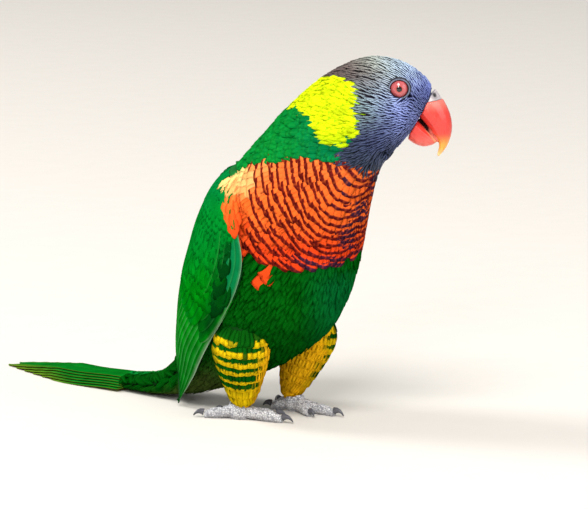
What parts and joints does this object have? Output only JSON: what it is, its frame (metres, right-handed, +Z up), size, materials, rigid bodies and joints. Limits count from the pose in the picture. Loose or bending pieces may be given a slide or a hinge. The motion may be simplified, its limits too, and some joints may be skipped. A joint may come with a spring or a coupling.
{
  "type": "parrot figure",
  "caption": "Life-size still model of a coconut lorikeet standing upright with its head turned aside, long tail laid on the floor behind it.",
  "frame": {"origin": "on the floor, under the middle of the bird's length and width, so at the bottom centre of its bounding box", "axes": "+Z up; the body faces -Y, so the tail lies towards +Y; the bird's left side is at +X"},
  "size_m": [0.0688, 0.2268, 0.1461],
  "materials": {
    "plumage_blue": "satin",
    "plumage_yellow": "satin",
    "plumage_orange": "matte",
    "plumage_green": "satin",
    "plumage_gold": "matte",
    "bill": "satin gloss",
    "cere": "matte",
    "eye": "wet gloss",
    "foot_skin": "granular matte",
    "claw": "satin"
  },
  "bodies": {
    "root": {"belly": "plumage_green", "bill_lower": "bill", "bill_upper": "bill", "breast": "plumage_orange", "cere": "cere", "claw_1_left": "claw", "claw_1_right": "claw", "claw_2_left": "claw", "claw_2_right": "claw", "claw_3_left": "claw", "claw_3_right": "claw", "claw_4_left": "claw", "claw_4_right": "claw", "eye_left": "eye", "eye_right": "eye", "head": "plumage_blue", "neck": "plumage_yellow", "shank_left": "foot_skin", "shank_right": "foot_skin", "tail_coverts": "plumage_green", "tail_feather_1_left": "plumage_green", "tail_feather_1_right": "plumage_green", "tail_feather_2_left": "plumage_green", "tail_feather_2_right": "plumage_green", "tail_feather_3_left": "plumage_green", "tail_feather_3_right": "plumage_green", "tail_feather_4_left": "plumage_green", "tail_feather_4_right": "plumage_green", "tail_feather_5_left": "plumage_green", "tail_feather_5_right": "plumage_green", "tail_feather_6_left": "plumage_green", "tail_feather_6_right": "plumage_green", "thigh_left": "plumage_gold", "thigh_right": "plumage_gold", "toe_1_left": "foot_skin", "toe_1_right": "foot_skin", "toe_2_left": "foot_skin", "toe_2_right": "foot_skin", "toe_3_left": "foot_skin", "toe_3_right": "foot_skin", "toe_4_left": "foot_skin", "toe_4_right": "foot_skin", "wing_coverts_left": "plumage_green", "wing_coverts_right": "plumage_green", "wing_primaries_left": "plumage_green", "wing_primaries_right": "plumage_green", "wing_secondaries_left": "plumage_green", "wing_secondaries_right": "plumage_green"}
  },
  "joints": []
}
